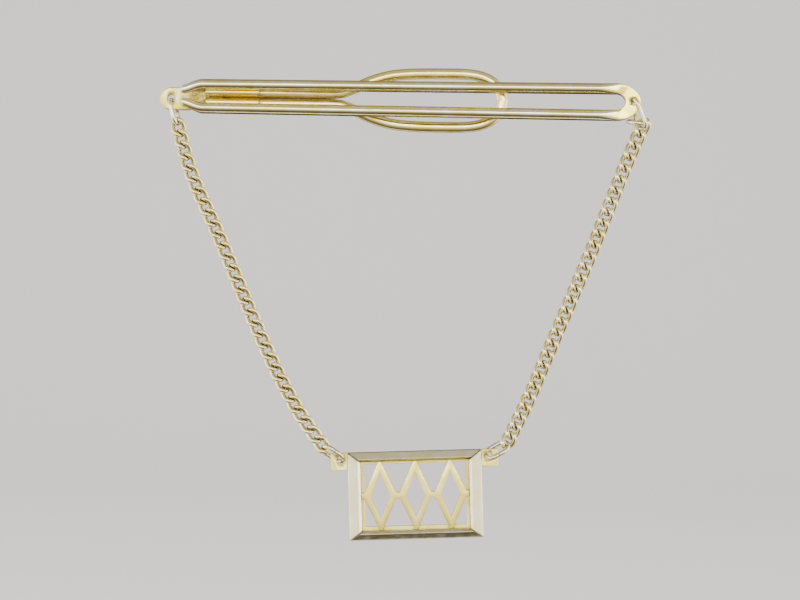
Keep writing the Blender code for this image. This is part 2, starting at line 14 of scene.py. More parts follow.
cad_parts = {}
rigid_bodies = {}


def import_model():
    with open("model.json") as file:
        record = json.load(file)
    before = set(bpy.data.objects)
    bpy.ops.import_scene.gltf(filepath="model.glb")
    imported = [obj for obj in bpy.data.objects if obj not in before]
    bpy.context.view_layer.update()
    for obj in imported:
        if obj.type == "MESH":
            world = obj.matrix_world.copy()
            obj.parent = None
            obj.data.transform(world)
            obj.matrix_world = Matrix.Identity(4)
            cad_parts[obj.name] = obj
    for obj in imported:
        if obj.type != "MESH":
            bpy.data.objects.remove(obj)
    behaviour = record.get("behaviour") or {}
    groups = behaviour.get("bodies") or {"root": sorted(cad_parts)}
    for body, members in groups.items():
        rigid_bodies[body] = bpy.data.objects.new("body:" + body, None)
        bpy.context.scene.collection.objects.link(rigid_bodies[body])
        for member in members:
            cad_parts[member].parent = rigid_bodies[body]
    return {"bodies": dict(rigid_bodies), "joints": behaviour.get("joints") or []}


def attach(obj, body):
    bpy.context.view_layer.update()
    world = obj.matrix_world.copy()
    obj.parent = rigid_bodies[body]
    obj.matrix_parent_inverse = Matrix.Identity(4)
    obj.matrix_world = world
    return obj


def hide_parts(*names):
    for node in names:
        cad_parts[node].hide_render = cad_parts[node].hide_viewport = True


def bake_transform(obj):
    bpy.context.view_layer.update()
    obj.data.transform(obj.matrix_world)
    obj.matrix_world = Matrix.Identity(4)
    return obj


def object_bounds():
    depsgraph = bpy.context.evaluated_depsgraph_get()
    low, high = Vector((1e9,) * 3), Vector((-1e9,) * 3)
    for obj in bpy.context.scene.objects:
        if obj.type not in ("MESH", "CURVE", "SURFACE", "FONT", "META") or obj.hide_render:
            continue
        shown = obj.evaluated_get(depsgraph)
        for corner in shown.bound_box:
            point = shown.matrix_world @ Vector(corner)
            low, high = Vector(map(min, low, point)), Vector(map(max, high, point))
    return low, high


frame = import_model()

cad_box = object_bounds()
MM = 0.001
CHILD_JOINT = {joint["child"]: joint for joint in frame["joints"]}
PAIRS = sum(body.startswith("left_chain_") for body in frame["bodies"])


def joint_place(body):
    """Where a body hangs from: its joint's place in the frame."""
    return Vector(CHILD_JOINT[body]["pos_m"])


# Camera -----------------------------------------------------------------------------------------

CAMERA_DISTANCE = 200 * MM
VIEW_WIDTH = 94.8 * MM
VIEW_CENTRE = Vector((0.29 * MM, -0.9 * MM, -23.81 * MM))
CAMERA_ROLL = math.radians(0.84)  # the bar runs down slightly to the right


def make_camera():
    data = bpy.data.cameras.new("camera")
    data.sensor_width = 36.0
    data.lens = data.sensor_width * CAMERA_DISTANCE / VIEW_WIDTH
    data.clip_start = 0.005
    data.clip_end = 20.0
    camera = bpy.data.objects.new("camera", data)
    camera.location = VIEW_CENTRE + Vector((0, -CAMERA_DISTANCE, 0))
    camera.rotation_euler = (math.pi / 2, -CAMERA_ROLL, 0)
    bpy.context.scene.collection.objects.link(camera)
    bpy.context.scene.camera = camera


# Mesh tools -------------------------------------------------------------------------------------

HOLE_SIDES = 48
CUTTER_OVERSHOOT = 0.2 * MM


def smooth_step(value, low, high):
    t = min(max((value - low) / (high - low), 0.0), 1.0)
    return t * t * (3 - 2 * t)


def smooth_curve(points, per_span):
    """A Catmull-Rom curve through the points."""
    points = np.array(points, float)
    ends = np.vstack([2 * points[0] - points[1], points, 2 * points[-1] - points[-2]])
    out = []
    for p0, p1, p2, p3 in zip(ends, ends[1:], ends[2:], ends[3:]):
        for t in np.arange(per_span) / per_span:
            out.append(0.5 * (2 * p1 + (p2 - p0) * t + (2 * p0 - 5 * p1 + 4 * p2 - p3) * t**2
                              + (3 * p1 - p0 - 3 * p2 + p3) * t**3))
    return np.array(out + [points[-1]])


class Shell:
    """A mesh under construction, with a value at each vertex from 0 (bright) to 1 (dark) for its
    dirt and painted shade.
    """

    def __init__(self):
        self.bm = bmesh.new()
        self.dirt_and_shade = self.bm.verts.layers.float.new("dirt_and_shade")

    def vert(self, place, dirt_and_shade=0.0):
        vert = self.bm.verts.new(place)
        vert[self.dirt_and_shade] = dirt_and_shade
        return vert

    def loft(self, sections, closed=False):
        """Joins sections of (place, dirt-and-shade value) points, each in order round the body,
        with quads.

        A closed loft runs back into its first section; any other gets end caps.
        """
        rings = [[self.vert(*point) for point in section] for section in sections]
        count = len(rings[0])
        following = rings[1:] + rings[:1] if closed else rings[1:]
        for first, second in zip(rings, following):
            for i in range(count):
                j = (i + 1) % count
                self.bm.faces.new((first[i], first[j], second[j], second[i]))
        if not closed:
            for ring in (rings[0], rings[-1]):
                self.bm.faces.new(ring)
        return self

    def object(self, name, material, smooth_below=40):
        bmesh.ops.recalc_face_normals(self.bm, faces=self.bm.faces)
        mesh = bpy.data.meshes.new(name)
        self.bm.to_mesh(mesh)
        self.bm.free()
        mesh.materials.append(material)
        mesh.shade_smooth()
        mesh.set_sharp_from_angle(angle=math.radians(smooth_below))
        obj = bpy.data.objects.new(name, mesh)
        bpy.context.scene.collection.objects.link(obj)
        return obj


def wire_sections(path, normals, half_width, half_depth, sides, closed, dirt_and_shade):
    """Elliptical sections along a path; normals point out of the plane that the wire is bent in.

    The last argument gives the dirt and painted shade at a path point's number and an offset from
    it.
    """
    count = len(path)
    sections = []
    for i, (point, normal) in enumerate(zip(path, normals)):
        after = path[(i + 1) % count] if closed or i < count - 1 else path[i]
        before = path[i - 1] if closed or i > 0 else path[i]
        tangent = (after - before).normalized()
        across = tangent.cross(normal).normalized()
        forward = across.cross(tangent)
        section = []
        for k in range(sides):
            angle = 2 * math.pi * k / sides
            out = across * math.cos(angle) * half_width + forward * math.sin(angle) * half_depth
            section.append((point + out, dirt_and_shade(i, out)))
        sections.append(section)
    return sections


def cut(obj, cutter):
    """Takes the cutter out of obj for good and removes it."""
    modifier = obj.modifiers.new("cut", "BOOLEAN")
    modifier.operation = "DIFFERENCE"
    modifier.solver = "EXACT"
    modifier.object = cutter
    depsgraph = bpy.context.evaluated_depsgraph_get()
    mesh = bpy.data.meshes.new_from_object(obj.evaluated_get(depsgraph))
    obj.modifiers.clear()
    old = obj.data
    obj.data = mesh
    bpy.data.meshes.remove(old)
    bpy.data.objects.remove(cutter)


def hole_cutter(centre, diameter, near_y, far_y, chamfer):
    """A turned cutter along Y whose ends flare, so that the hole's edges come out chamfered."""
    over = CUTTER_OVERSHOOT
    radius = diameter / 2
    profile = [(near_y - over, radius + chamfer + over), (near_y + chamfer, radius),
               (far_y - chamfer, radius), (far_y + over, radius + chamfer + over)]
    middle_x, middle_z = centre
    sections = []
    for y, r in profile:
        circle = []
        for i in range(HOLE_SIDES):
            angle = 2 * math.pi * i / HOLE_SIDES
            spot = Vector((middle_x + r * math.cos(angle), y, middle_z + r * math.sin(angle)))
            # Its value of 1 goes to the walls of the hole it cuts, as painted shade.
            circle.append((spot, 1.0))
        sections.append(circle)
    return Shell().loft(sections).object("cutter", None)


# Materials --------------------------------------------------------------------------------------

# How many features each noise has per metre.
CLOUD_SCALE = 420.0
DIRT_SCALE = 3600.0
HAZE_SCALE = 900.0
HAIRLINE_SCALE = 9000.0
PEEL_SCALE = 1500.0
DIRT_AND_SHADE_COVER = 0.85  # how much of the gold the thickest dirt and painted shade hide
DIRT_ROUGHNESS = 0.28
FAINT_DIRT = 0.28  # how much the specks show that lie everywhere
BUMP_HEIGHT = 0.02 * MM
BUMP_STRENGTH = 0.22
PEEL_HEIGHT = 1.6  # a share of the bump's height, like the next
HAIRLINE_DEPTH = 0.25


class Nodes:
    """Short calls for building a node tree."""

    def __init__(self, tree):
        self.tree = tree

    def add(self, kind, inputs=(), **settings):
        node = self.tree.nodes.new(kind)
        for key, value in settings.items():
            setattr(node, key, value)
        for key, value in dict(inputs).items():
            self.feed(node.inputs[key], value)
        return node

    def feed(self, socket, value):
        if isinstance(value, bpy.types.NodeSocket):
            self.tree.links.new(value, socket)
        else:
            socket.default_value = value

    def math(self, operation, a, b=0.0, clamp=False):
        node = self.add("ShaderNodeMath", {0: a, 1: b}, operation=operation, use_clamp=clamp)
        return node.outputs[0]

    def remap(self, value, from_low, from_high, to_low, to_high):
        inputs = {"Value": value, "From Min": from_low, "From Max": from_high,
                  "To Min": to_low, "To Max": to_high}
        return self.add("ShaderNodeMapRange", inputs, interpolation_type="SMOOTHSTEP").outputs[0]

    def mix(self, factor, a, b):
        return self.add("ShaderNodeMix", {0: factor, 6: a, 7: b}, data_type="RGBA").outputs[2]

    def noise(self, vector, scale, detail=3.0, roughness=0.55):
        inputs = {"Vector": vector, "Scale": scale, "Detail": detail, "Roughness": roughness}
        return self.add("ShaderNodeTexNoise", inputs).outputs[0]

    def stretch(self, vector, scale):
        node = self.add("ShaderNodeVectorMath", {0: vector, 1: scale}, operation="MULTIPLY")
        return node.outputs[0]


def rgba(colour):
    return (*colour, 1.0)


def worn_gold(name, colour, rubbed, dirt_and_shade_colour, roughness, brush=(1.0, 1.0, 1.0), flat_end=None):
    """Polished gold with cloudy colour, rubbed places, dirt and painted shade in its corners and
    hollows, hairlines and a soft orange peel.

    brush has a factor for each axis: a small one makes the hairlines run along that axis.
    flat_end is a second gold that takes over towards the bar's flat end.
    """
    material = bpy.data.materials.new(name)
    material.use_nodes = True
    tree = material.node_tree
    shader = tree.nodes["Principled BSDF"]
    nodes = Nodes(tree)
    place = nodes.add("ShaderNodeTexCoord").outputs["Object"]
    dirt_and_shade = nodes.add("ShaderNodeAttribute", attribute_name="dirt_and_shade").outputs["Fac"]

    # Colour: rubbed clouds in the gold, then the flat end's gold, then dirt and painted shade over
    # both.
    clouds = nodes.noise(place, CLOUD_SCALE, 4.0)
    fine = nodes.noise(place, DIRT_SCALE, 5.0, 0.62)
    wear = nodes.remap(clouds, 0.42, 0.66, 0.0, 1.0)
    gold = nodes.mix(wear, rgba(colour), rgba(rubbed))
    if flat_end:
        along = nodes.add("ShaderNodeSeparateXYZ", {0: place}).outputs[0]
        gold = nodes.mix(nodes.remap(along, *FLAT_END_X, 0.0, 1.0), gold, rgba(flat_end))
    spots = nodes.remap(fine, 0.55, 0.78, 0.0, 0.55)
    # The vertex mask lays dirt and painted shade into corners and hollows; faint specks of dirt lie
    # everywhere.
    dirt_and_shade_amount = nodes.math("MULTIPLY", dirt_and_shade, nodes.remap(fine, 0.28, 0.62, 0.45, 1.0))
    dirt_and_shade_amount = nodes.math("MAXIMUM", dirt_and_shade_amount, nodes.math("MULTIPLY", spots, FAINT_DIRT))
    gold = nodes.mix(nodes.math("MULTIPLY", dirt_and_shade_amount, DIRT_AND_SHADE_COVER), gold, rgba(dirt_and_shade_colour))
    nodes.feed(shader.inputs["Base Color"], gold)
    shader.inputs["Metallic"].default_value = 1.0

    # Roughness: patches of haze, and duller where the dirt and painted shade lie.
    haze = nodes.noise(place, HAZE_SCALE, 3.0)
    haze = nodes.remap(haze, 0.35, 0.7, roughness * 0.8, roughness * 1.35)
    rough = nodes.math("ADD", haze, nodes.math("MULTIPLY", dirt_and_shade_amount, DIRT_ROUGHNESS), clamp=True)
    nodes.feed(shader.inputs["Roughness"], rough)

    # Relief: a soft orange peel with the hairlines cut into it.
    lines = nodes.noise(nodes.stretch(place, brush), HAIRLINE_SCALE, 2.0, 0.4)
    lines = nodes.remap(lines, 0.56, 0.7, 0.0, 1.0)
    peel = nodes.noise(place, PEEL_SCALE, 2.0)
    peel = nodes.math("MULTIPLY", peel, PEEL_HEIGHT)
    height = nodes.math("SUBTRACT", peel, nodes.math("MULTIPLY", lines, HAIRLINE_DEPTH))
    inputs = {"Strength": BUMP_STRENGTH, "Distance": BUMP_HEIGHT, "Height": height}
    nodes.feed(shader.inputs["Normal"], nodes.add("ShaderNodeBump", inputs).outputs[0])
    return material


# Each palette: the gold, where it is rubbed bright, and the dark colour of the dirt and painted
# shade in its corners.
SILVERY = ((0.86, 0.73, 0.32), (0.90, 0.84, 0.56), (0.17, 0.12, 0.04))
FRAME = ((0.88, 0.79, 0.46), (0.90, 0.86, 0.62), (0.17, 0.13, 0.05))
CHAIN = ((0.88, 0.75, 0.34), (0.92, 0.84, 0.52), (0.13, 0.09, 0.02))
YELLOW = ((0.90, 0.72, 0.22), (0.93, 0.81, 0.38), (0.16, 0.11, 0.02))
PALE = ((0.93, 0.76, 0.17), (0.95, 0.82, 0.27), (0.24, 0.16, 0.03))
WARM = ((0.93, 0.66, 0.11), (0.95, 0.77, 0.22), (0.22, 0.11, 0.01))

FLAT_END_X = (24.4 * MM, 26.6 * MM)  # where the flat end's gold starts and has taken over
# The hairlines' factors on X, Y and Z.
ALONG_BAR = (0.05, 1.0, 1.0)
UPRIGHT = (1.0, 1.0, 0.05)
MATERIALS = {
    "rail_gold": worn_gold("rail_gold", *SILVERY, 0.14, ALONG_BAR, PALE[0]),
    "tab_gold": worn_gold("tab_gold", *PALE, 0.32, ALONG_BAR),
    "sleeve_gold": worn_gold("sleeve_gold", *WARM, 0.2, ALONG_BAR),
    "wire_gold": worn_gold("wire_gold", *YELLOW, 0.17, ALONG_BAR),
    "chain_gold": worn_gold("chain_gold", *CHAIN, 0.2),
    "ring_gold": worn_gold("ring_gold", *FRAME, 0.18),
    "bezel_gold_top": worn_gold("bezel_gold_top", *FRAME, 0.18, ALONG_BAR),
    "bezel_gold_bottom": worn_gold("bezel_gold_bottom", *FRAME, 0.18, ALONG_BAR),
    "bezel_gold_left": worn_gold("bezel_gold_left", *FRAME, 0.18, UPRIGHT),
    "bezel_gold_right": worn_gold("bezel_gold_right", *FRAME, 0.18, UPRIGHT),
    "ornament_gold": worn_gold("ornament_gold", *PALE, 0.36),
    "plate_gold": worn_gold("plate_gold", *PALE, 0.36),
}


# Stage ------------------------------------------------------------------------------------------

FLOOR_GAP = 30 * MM  # below the pendant, as the object hangs
FLOOR_REACH = 1.6
WALL_Y = 0.62
SWEEP_RADIUS = 0.3
SWEEP_STEPS = 16
PAPER_COLOUR = (0.74, 0.73, 0.71)


def make_stage():
    """A pale floor that sweeps up behind, far enough off to leave room for views from all round."""
    low = cad_box[0].z - FLOOR_GAP
    profile = [(-FLOOR_REACH, low), (WALL_Y - SWEEP_RADIUS, low)]
    for i in range(1, SWEEP_STEPS + 1):
        angle = math.pi / 2 * i / SWEEP_STEPS
        profile.append((WALL_Y - SWEEP_RADIUS + SWEEP_RADIUS * math.sin(angle),
                        low + SWEEP_RADIUS * (1 - math.cos(angle))))
    profile.append((WALL_Y, low + FLOOR_REACH))
    bm = bmesh.new()
    rows = [[bm.verts.new((side * FLOOR_REACH, y, z)) for side in (-1, 1)] for y, z in profile]
    for (a, b), (c, d) in zip(rows, rows[1:]):
        bm.faces.new((a, b, d, c))
    mesh = bpy.data.meshes.new("studio_floor")
    bm.to_mesh(mesh)
    bm.free()
    mesh.shade_smooth()
    material = bpy.data.materials.new("studio_paper")
    material.use_nodes = True
    shader = material.node_tree.nodes["Principled BSDF"]
    shader.inputs["Base Color"].default_value = rgba(PAPER_COLOUR)
    shader.inputs["Roughness"].default_value = 0.9
    shader.inputs["Specular IOR Level"].default_value = 0.1
    mesh.materials.append(material)
    floor = bpy.data.objects.new("studio_floor", mesh)
    bpy.context.scene.collection.objects.link(floor)
    floor.visible_glossy = False


# The studio as the metal sees it: colours by the angle in degrees from the front (0), over the top
# (90) or below (-90), to behind.
STUDIO_BANDS = [(-180, (0.08, 0.07, 0.05)), (-130, (0.10, 0.09, 0.06)), (-110, (0.5, 0.48, 0.38)),
                (-105, (2.0, 1.97, 1.8)), (-95, (2.0, 1.97, 1.8)), (-90, (0.12, 0.11, 0.10)),
                (-58, (0.14, 0.13, 0.11)), (-38, (0.34, 0.32, 0.26)), (-20, (0.8, 0.78, 0.68)),
                (-9, (1.7, 1.68, 1.6)), (3, (1.8, 1.78, 1.7)), (8, (7.0, 7.0, 6.8)),
                (17, (7.0, 7.0, 6.8)), (22, (0.75, 0.78, 0.78)), (50, (0.68, 0.70, 0.70)),
                (62, (0.72, 0.70, 0.64)), (76, (0.70, 0.67, 0.60)), (84, (0.38, 0.36, 0.30)),
                (100, (0.42, 0.38, 0.32)), (140, (0.26, 0.22, 0.16)), (175, (0.08, 0.07, 0.05))]
# To the left and right two more colours take over, between these values of a direction's X.
SIDE_COLOUR = (2.0, 1.97, 1.85)
SIDE_SHARE = (0.45, 0.8)
SIDE_GLOW = (5.0, 5.0, 4.9)
GLOW_SHARE = (0.93, 0.98)
BACKDROP_COLOUR = (0.80, 0.79, 0.77)


def make_world():
    """Pale to the camera and as soft light. Reflections see a studio of strips and darker gaps."""
    world = bpy.data.worlds.new("studio")
    bpy.context.scene.world = world
    world.use_nodes = True
    nodes = Nodes(world.node_tree)
    background = world.node_tree.nodes["Background"]
    direction = nodes.add("ShaderNodeTexCoord").outputs["Generated"]
    parts = nodes.add("ShaderNodeSeparateXYZ", {0: direction}).outputs
    ahead = nodes.math("MULTIPLY", parts[1], -1.0)
    angle = nodes.math("ARCTAN2", parts[2], ahead)
    inputs = {"Value": angle, "From Min": -math.pi, "From Max": math.pi}
    share = nodes.add("ShaderNodeMapRange", inputs).outputs[0]
    ramp = nodes.add("ShaderNodeValToRGB", {0: share})
    elements = ramp.color_ramp.elements
    while len(elements) > 1:
        elements.remove(elements[-1])
    elements[0].position = 0.0
    elements[0].color = rgba(STUDIO_BANDS[0][1])
    for degrees, colour in STUDIO_BANDS[1:]:
        elements.new((degrees + 180) / 360).color = rgba(colour)
    sideways = nodes.remap(nodes.math("ABSOLUTE", parts[0]), *SIDE_SHARE, 0.0, 1.0)
    studio = nodes.mix(sideways, ramp.outputs[0], rgba(SIDE_COLOUR))
    edge_on = nodes.remap(nodes.math("ABSOLUTE", parts[0]), *GLOW_SHARE, 0.0, 1.0)
    studio = nodes.mix(edge_on, studio, rgba(SIDE_GLOW))
    path = nodes.add("ShaderNodeLightPath")
    seen = nodes.mix(path.outputs["Is Glossy Ray"], rgba(BACKDROP_COLOUR), studio)
    nodes.feed(background.inputs["Color"], seen)
    background.inputs["Strength"].default_value = 1.0


def soft_light(name, offset, size, watts, colour):
    """A rectangular light at an offset from the object's middle and aimed at it."""
    target = (cad_box[0] + cad_box[1]) / 2
    data = bpy.data.lights.new(name, "AREA")
    data.shape = "RECTANGLE"
    data.size, data.size_y = size
    data.energy = watts
    data.color = colour
    light = bpy.data.objects.new(name, data)
    light.location = target + Vector(offset)
    light.rotation_euler = (target - light.location).to_track_quat("-Z", "Y").to_euler()
    light.visible_camera = False
    light.visible_glossy = False
    bpy.context.scene.collection.objects.link(light)


make_camera()
make_stage()
make_world()
soft_light("key_light", (-0.15, -0.35, 0.75), size=(0.5, 0.25), watts=9.0, colour=(1.0, 0.98, 0.96))
soft_light("fill_light", (0.7, -0.5, 0.1), size=(0.4, 0.5), watts=3.0, colour=(0.97, 0.98, 1.0))


# Front bar --------------------------------------------------------------------------------------

BAR_BACK_Y = -0.6 * MM
RAIL_DEPTH = 1.1 * MM
RAIL_HEIGHT = 1.3 * MM
END_DEPTH = 0.6 * MM
OUTER_HALF = (2.04 * MM, 2.23 * MM)  # half the bar's height at the left shoulder and the right end
SHOULDER_X = -23.4 * MM
TIP_X = -26.1 * MM
TIP_Z = 0.72 * MM
TIP_HEIGHT = 0.95 * MM
TIP_BACK_Y = -1.22 * MM
JOGGLE = (-25.2 * MM, -23.9 * MM)
BAR_END_X = 28.47 * MM
END_LENGTH = 3.1 * MM
WINDOW_END_X = 26.64 * MM
WINDOW_END_LENGTH = 1.1 * MM
BAR_HOLE = (27.61 * MM, 0.1 * MM)
HOLE_DIAMETER = 0.95 * MM
BAR_EDGE = 0.07 * MM
BAR_HOLE_CHAMFER = 0.06 * MM
NOSE_LENGTH = 0.55 * TIP_HEIGHT  # of each rail's rounded tip
NOSE_END_HEIGHT = 0.14  # what is left at the nose's very end, as shares of the height and depth
NOSE_END_DEPTH = 0.35
END_FADE = (2.4 * MM, 2.0 * MM)  # how far before and after the turn's start the rails flatten
ARCH_STEPS = 28
TURN_STEPS = 44
# A section's front arch: its shape on a round rail, and what the flat end adds to that.
ARCH_SPRING = (0.26, 0.46)  # the share of the depth that the arch starts from
ARCH_POWER_ACROSS = (1.0, -0.78)
ARCH_POWER_UP = (0.9, -0.72)


def bar_section(outer, inner, back, depth, flatness):
    """A section from its inner to its outer side, with a flat back whose corners are broken.

    outer and inner are the section's ends as vectors in XZ. The front is an arch at a flatness of 0
    and squares up into a flat with broken corners at 1.
    """
    across = outer - inner
    middle = (outer + inner) / 2
    width = across.length
    corner = BAR_EDGE / width
    arch = (ARCH_SPRING, ARCH_POWER_ACROSS, ARCH_POWER_UP)
    spring, power_across, power_up = (start + change * flatness for start, change in arch)
    outline = [(corner - 0.5, 0.0), (-0.5, BAR_EDGE)]
    for i in range(ARCH_STEPS + 1):
        angle = math.pi * i / ARCH_STEPS
        along, up = -math.cos(angle), math.sin(angle)
        share = math.copysign(abs(along) ** power_across, along) / 2
        outline.append((share, depth * (spring + (1 - spring) * up**power_up)))
    outline += [(0.5, BAR_EDGE), (0.5 - corner, 0.0)]
    section = []
    for share, rise in outline:
        spot = middle + across * share
        edge = abs(share) * 2
        # The sides darken, most of all at the back.
        dirt_and_shade = 0.55 * smooth_step(edge, 0.86, 1.0) * (1 - 0.6 * smooth_step(rise, 0.0, depth))
        section.append((Vector((spot.x, back - rise, spot.y)), dirt_and_shade))
    return section


def outer_half(x):
    share = (x - SHOULDER_X) / (BAR_END_X - SHOULDER_X)
    return OUTER_HALF[0] + share * (OUTER_HALF[1] - OUTER_HALF[0])


def rail_place(x):
    """Outer and inner height, back and depth of the upper rail at x.

    Towards its tip the rail tapers, thins and gets a round nose.
    """
    taper = smooth_step(x, TIP_X, SHOULDER_X)
    middle = TIP_Z + taper * (outer_half(x) - RAIL_HEIGHT / 2 - TIP_Z)
    height = TIP_HEIGHT + taper * (RAIL_HEIGHT - TIP_HEIGHT)
    back = BAR_BACK_Y + (TIP_BACK_Y - BAR_BACK_Y) * (1 - smooth_step(x, JOGGLE[0], SHOULDER_X))
    front = BAR_BACK_Y - RAIL_DEPTH
    nose = min((x - TIP_X) / NOSE_LENGTH, 1.0)
    fullness = math.sqrt(max(1 - (1 - nose) ** 2, 0.0))
    height *= max(fullness, NOSE_END_HEIGHT)
    depth = (back - front) * (NOSE_END_DEPTH + (1 - NOSE_END_DEPTH) * fullness)
    return middle + height / 2, middle - height / 2, back, depth


def end_fade(x):
    """How far a section at x has gone from a round rail (0) to the flat end (1)."""
    end_start = BAR_END_X - END_LENGTH
    return smooth_step(x, end_start - END_FADE[0], end_start + END_FADE[1])


def make_bar():
    """Both rails and the flat drilled end that joins them, as one loft from tip to tip."""
    end_start = BAR_END_X - END_LENGTH
    tip = [TIP_X + NOSE_LENGTH * (1 - math.cos(math.pi / 2 * i / 9)) for i in range(10)]
    tip += list(np.linspace(tip[-1], SHOULDER_X + 0.3 * MM, 16))[1:]
    run = list(np.linspace(SHOULDER_X + 1.2 * MM, end_start - END_FADE[0], 30))
    run += list(np.linspace(end_start - END_FADE[0], end_start, 16))[1:]
    half = []
    for x in tip + run:
        outer, inner, back, depth = rail_place(x)
        settle = end_fade(x)
        depth += settle * (END_DEPTH - RAIL_DEPTH)
        half.append((Vector((x, outer)), Vector((x, inner)), back, depth, settle))
    turn = []
    window_start = WINDOW_END_X - WINDOW_END_LENGTH
    window_half = OUTER_HALF[1] - RAIL_HEIGHT
    for i in range(1, TURN_STEPS):
        angle = math.pi * (0.5 - i / TURN_STEPS)
        along, up = math.cos(angle), math.sin(angle)
        outer = Vector((end_start + END_LENGTH * along, OUTER_HALF[1] * up))
        inner = Vector((window_start + WINDOW_END_LENGTH * along, window_half * up))
        settle = end_fade(outer.x)
        depth = RAIL_DEPTH + settle * (END_DEPTH - RAIL_DEPTH)
        turn.append((outer, inner, BAR_BACK_Y, depth, settle))
    mirrored = [(Vector((outer.x, -outer.y)), Vector((inner.x, -inner.y)), *rest)
                for outer, inner, *rest in reversed(half)]
    bar = Shell().loft([bar_section(*place) for place in half + turn + mirrored])
    bar = bar.object("tie_bar", MATERIALS["rail_gold"], 50)
    front = BAR_BACK_Y - END_DEPTH
    cut(bar, hole_cutter(BAR_HOLE, HOLE_DIAMETER, front, BAR_BACK_Y, BAR_HOLE_CHAMFER))
    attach(bar, "bar")
    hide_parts("front_bar")


make_bar()


# Eye tab, sleeve and clip wire ------------------------------------------------------------------

HANG_Y = joint_place("left_bar_link").y
EYE = (-27.13 * MM, -0.37 * MM)
EYE_RADIUS = 1.33 * MM
TAB_DEPTH = 0.6 * MM
TAB_INNER_Y = 0.05 * MM
TAB_INNER_HALF = 1.2 * MM
TAB_INNER_X = -22.7 * MM
TAB_EDGE = 0.13 * MM
EYE_CHAMFER = 0.07 * MM

SLEEVE_X = (-23.2 * MM, -16.8 * MM)
SLEEVE_HALF_Z = 1.62 * MM
SLEEVE_Y = (-0.55 * MM, 0.78 * MM)
SLEEVE_WALL = 0.17 * MM
SLEEVE_CORNER = 0.45 * MM
SEAM_GAP = 0.07 * MM
SLIT_X = -20.8 * MM  # the lips part here
SLIT_HALF_LENGTH = 0.38 * MM
SLIT_GAP = 0.2 * MM
SEAM_DIP = 0.12 * MM  # how far the front folds in towards the seam
SEAM_DIP_HALF_WIDTH = 0.3 * MM
LOBE_DIP = 0.15 * MM  # each half of the front is a low lobe that falls this far to its sides
SLEEVE_LIP = 0.05 * MM
# How far from each end the sleeve darkens.
END_DARK_LENGTH = 0.35 * MM

WIRE_WIDTH = 1.3 * MM
WIRE_DEPTH = 0.9 * MM
WIRE_SIDES = 32
LEG_START_X = -21.2 * MM
LEG_Z = 0.652 * MM
LEG_Y = 0.12 * MM
LOOP_Y = 1.05 * MM
LOOP_Z_SHIFT = 0.12 * MM
LOOP_END_BACK = 0.3 * MM  # the loop's far end comes this much nearer to the bar
LOOP_STEP_BACK = (SLEEVE_X[1] + 0.5 * MM, -3 * MM)  # where the wire steps back from the legs' depth
LOOP_RETURN = (3 * MM, 12 * MM)  # where it comes nearer to the bar again
LEGS_PART_X = -6 * MM
# The middle line of the wire's upper half, from the straight leg to the loop's far end: X, Z in mm.
LOOP_ROUTE = [(-8.2, 0.655), (-6.9, 0.8), (-5.2, 1.45), (-3.2, 2.3), (-1.0, 2.9), (1.6, 3.14),
              (5.0, 3.2), (7.8, 3.16), (9.6, 2.88), (11.0, 2.2), (11.9, 1.2), (12.2, 0.0)]


def plate_section(x, middle_y, depth, middle_z, half, edge, dirt_and_shade):
    """A flat strip's section at x, with rounded edges."""
    edge = min(edge, half * 0.9, depth * 0.45)
    section = []
    for side_y, side_z, start in ((-1, 1, 0.5), (1, 1, 0.0), (1, -1, -0.5), (-1, -1, -1.0)):
        for i in range(5):
            angle = math.pi * (start + 0.5 * (1 - i / 4))
            spot = Vector((x, middle_y + side_y * (depth / 2 - edge) + edge * math.cos(angle),
                           middle_z + side_z * (half - edge) + edge * math.sin(angle)))
            section.append((spot, dirt_and_shade))
    return section


def make_eye_tab():
    """A drilled eye on a strip that steps back behind the rails."""
    eye_x, eye_z = EYE
    xs = [eye_x - EYE_RADIUS * math.cos(math.pi / 2 * i / 22) for i in range(23)]
    xs += list(np.linspace(eye_x, JOGGLE[0], 5))[1:] + list(np.linspace(*JOGGLE, 14))[1:]
    xs += list(np.linspace(JOGGLE[1], TAB_INNER_X, 8))[1:]
    sections = []
    for x in xs:
        half = EYE_RADIUS
        if x < eye_x:
            half = max(math.sqrt(max(EYE_RADIUS**2 - (x - eye_x) ** 2, 0.0)), 0.05 * MM)
        inward = smooth_step(x, *JOGGLE)
        half += inward * (TAB_INNER_HALF - EYE_RADIUS)
        middle_y = HANG_Y + inward * (TAB_INNER_Y - HANG_Y)
        # The eye's outer end thins into a rounded rim.
        rim = 1 - smooth_step(x, eye_x - EYE_RADIUS, eye_x - 0.93 * EYE_RADIUS)
        depth = TAB_DEPTH - 1.2 * TAB_EDGE * rim
        # Painted shade thickens from the eye towards the rails and under them.
        dirt_and_shade = 0.15 + 0.5 * smooth_step(x, eye_x + 0.9 * MM, eye_x + 1.6 * MM) + 0.35 * inward
        middle_z = eye_z * (1 - inward)
        sections.append(plate_section(x, middle_y, depth, middle_z, half, TAB_EDGE, dirt_and_shade))
    tab = Shell().loft(sections).object("eye_tab_strip", MATERIALS["tab_gold"], 35)
    front, back = HANG_Y - TAB_DEPTH / 2, HANG_Y + TAB_DEPTH / 2
    cut(tab, hole_cutter(EYE, HOLE_DIAMETER, front, back, EYE_CHAMFER))
    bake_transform(tab)
    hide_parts("eye_tab")


